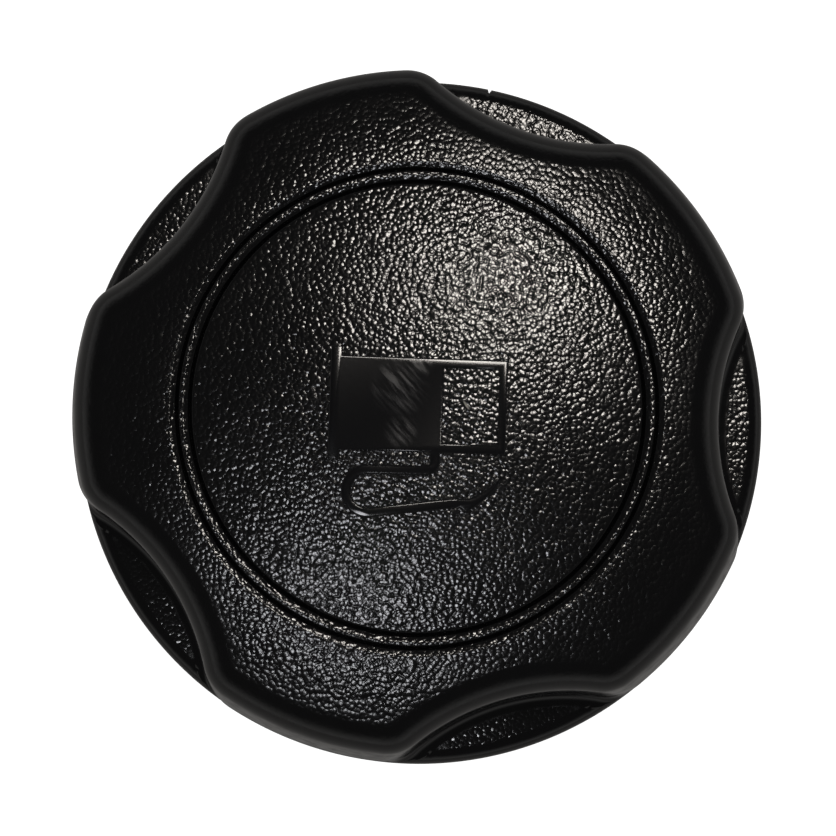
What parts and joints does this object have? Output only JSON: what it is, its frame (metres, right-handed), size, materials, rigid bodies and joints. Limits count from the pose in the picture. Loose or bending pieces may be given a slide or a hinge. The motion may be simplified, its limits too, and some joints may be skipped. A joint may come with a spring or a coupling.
{
  "type": "fuel filler cap",
  "caption": "Black screw-in fuel filler cap: scalloped grip with a raised fuel-pump symbol, turning on a threaded, vented plug through a torque-limiting ratchet.",
  "frame": {"origin": "on the cap's axis, at the foot of the plug", "axes": "+Z along the axis, from the plug up through the grip; +X through the middle of one finger hollow"},
  "size_m": [0.08, 0.08, 0.0465],
  "materials": {
    "grip_plastic": "black moulded plastic with a fine leather-like grain",
    "plug_plastic": "black moulded plastic, satin",
    "acetal": "natural acetal, satin",
    "seal_rubber": "black nitrile rubber",
    "spring_steel": "bright spring steel",
    "passivated_steel": "pressed steel with yellow passivation",
    "filter_felt": "grey filter felt"
  },
  "bodies": {
    "plug": {"plug_body": "plug_plastic", "main_seal": "seal_rubber", "pawl_ring": "acetal", "valve_housing": "plug_plastic", "housing_o_ring": "seal_rubber", "vented_cover": "plug_plastic", "spring_retainer": "plug_plastic", "breather_filter": "filter_felt", "pressure_spring": "spring_steel"},
    "grip": {"grip_cap": "grip_plastic", "tooth_ring": "acetal", "slide_washer": "acetal", "lock_ring": "plug_plastic"},
    "pressure_valve": {"pressure_plate": "passivated_steel", "pressure_disc": "seal_rubber", "disc_clamp": "passivated_steel", "vacuum_spring": "spring_steel"},
    "vacuum_valve": {"vacuum_stem": "acetal", "vacuum_disc": "seal_rubber", "stem_clip": "spring_steel"}
  },
  "joints": [
    {"name": "handle_turn", "type": "hinge", "parent": "plug", "child": "grip", "pos_m": [0, 0, 0.037], "axis": [0, 0, 1], "range_deg": [-360, 0]},
    {"name": "pressure_lift", "type": "slide", "parent": "plug", "child": "pressure_valve", "axis": [0, 0, 1], "range_m": [0, 0.0025], "stiffness_N_per_m": 800, "deforming": ["pressure_spring"]},
    {"name": "vacuum_drop", "type": "slide", "parent": "pressure_valve", "child": "vacuum_valve", "axis": [0, 0, -1], "range_m": [0, 0.0015], "stiffness_N_per_m": 60, "deforming": ["vacuum_spring"]}
  ]
}
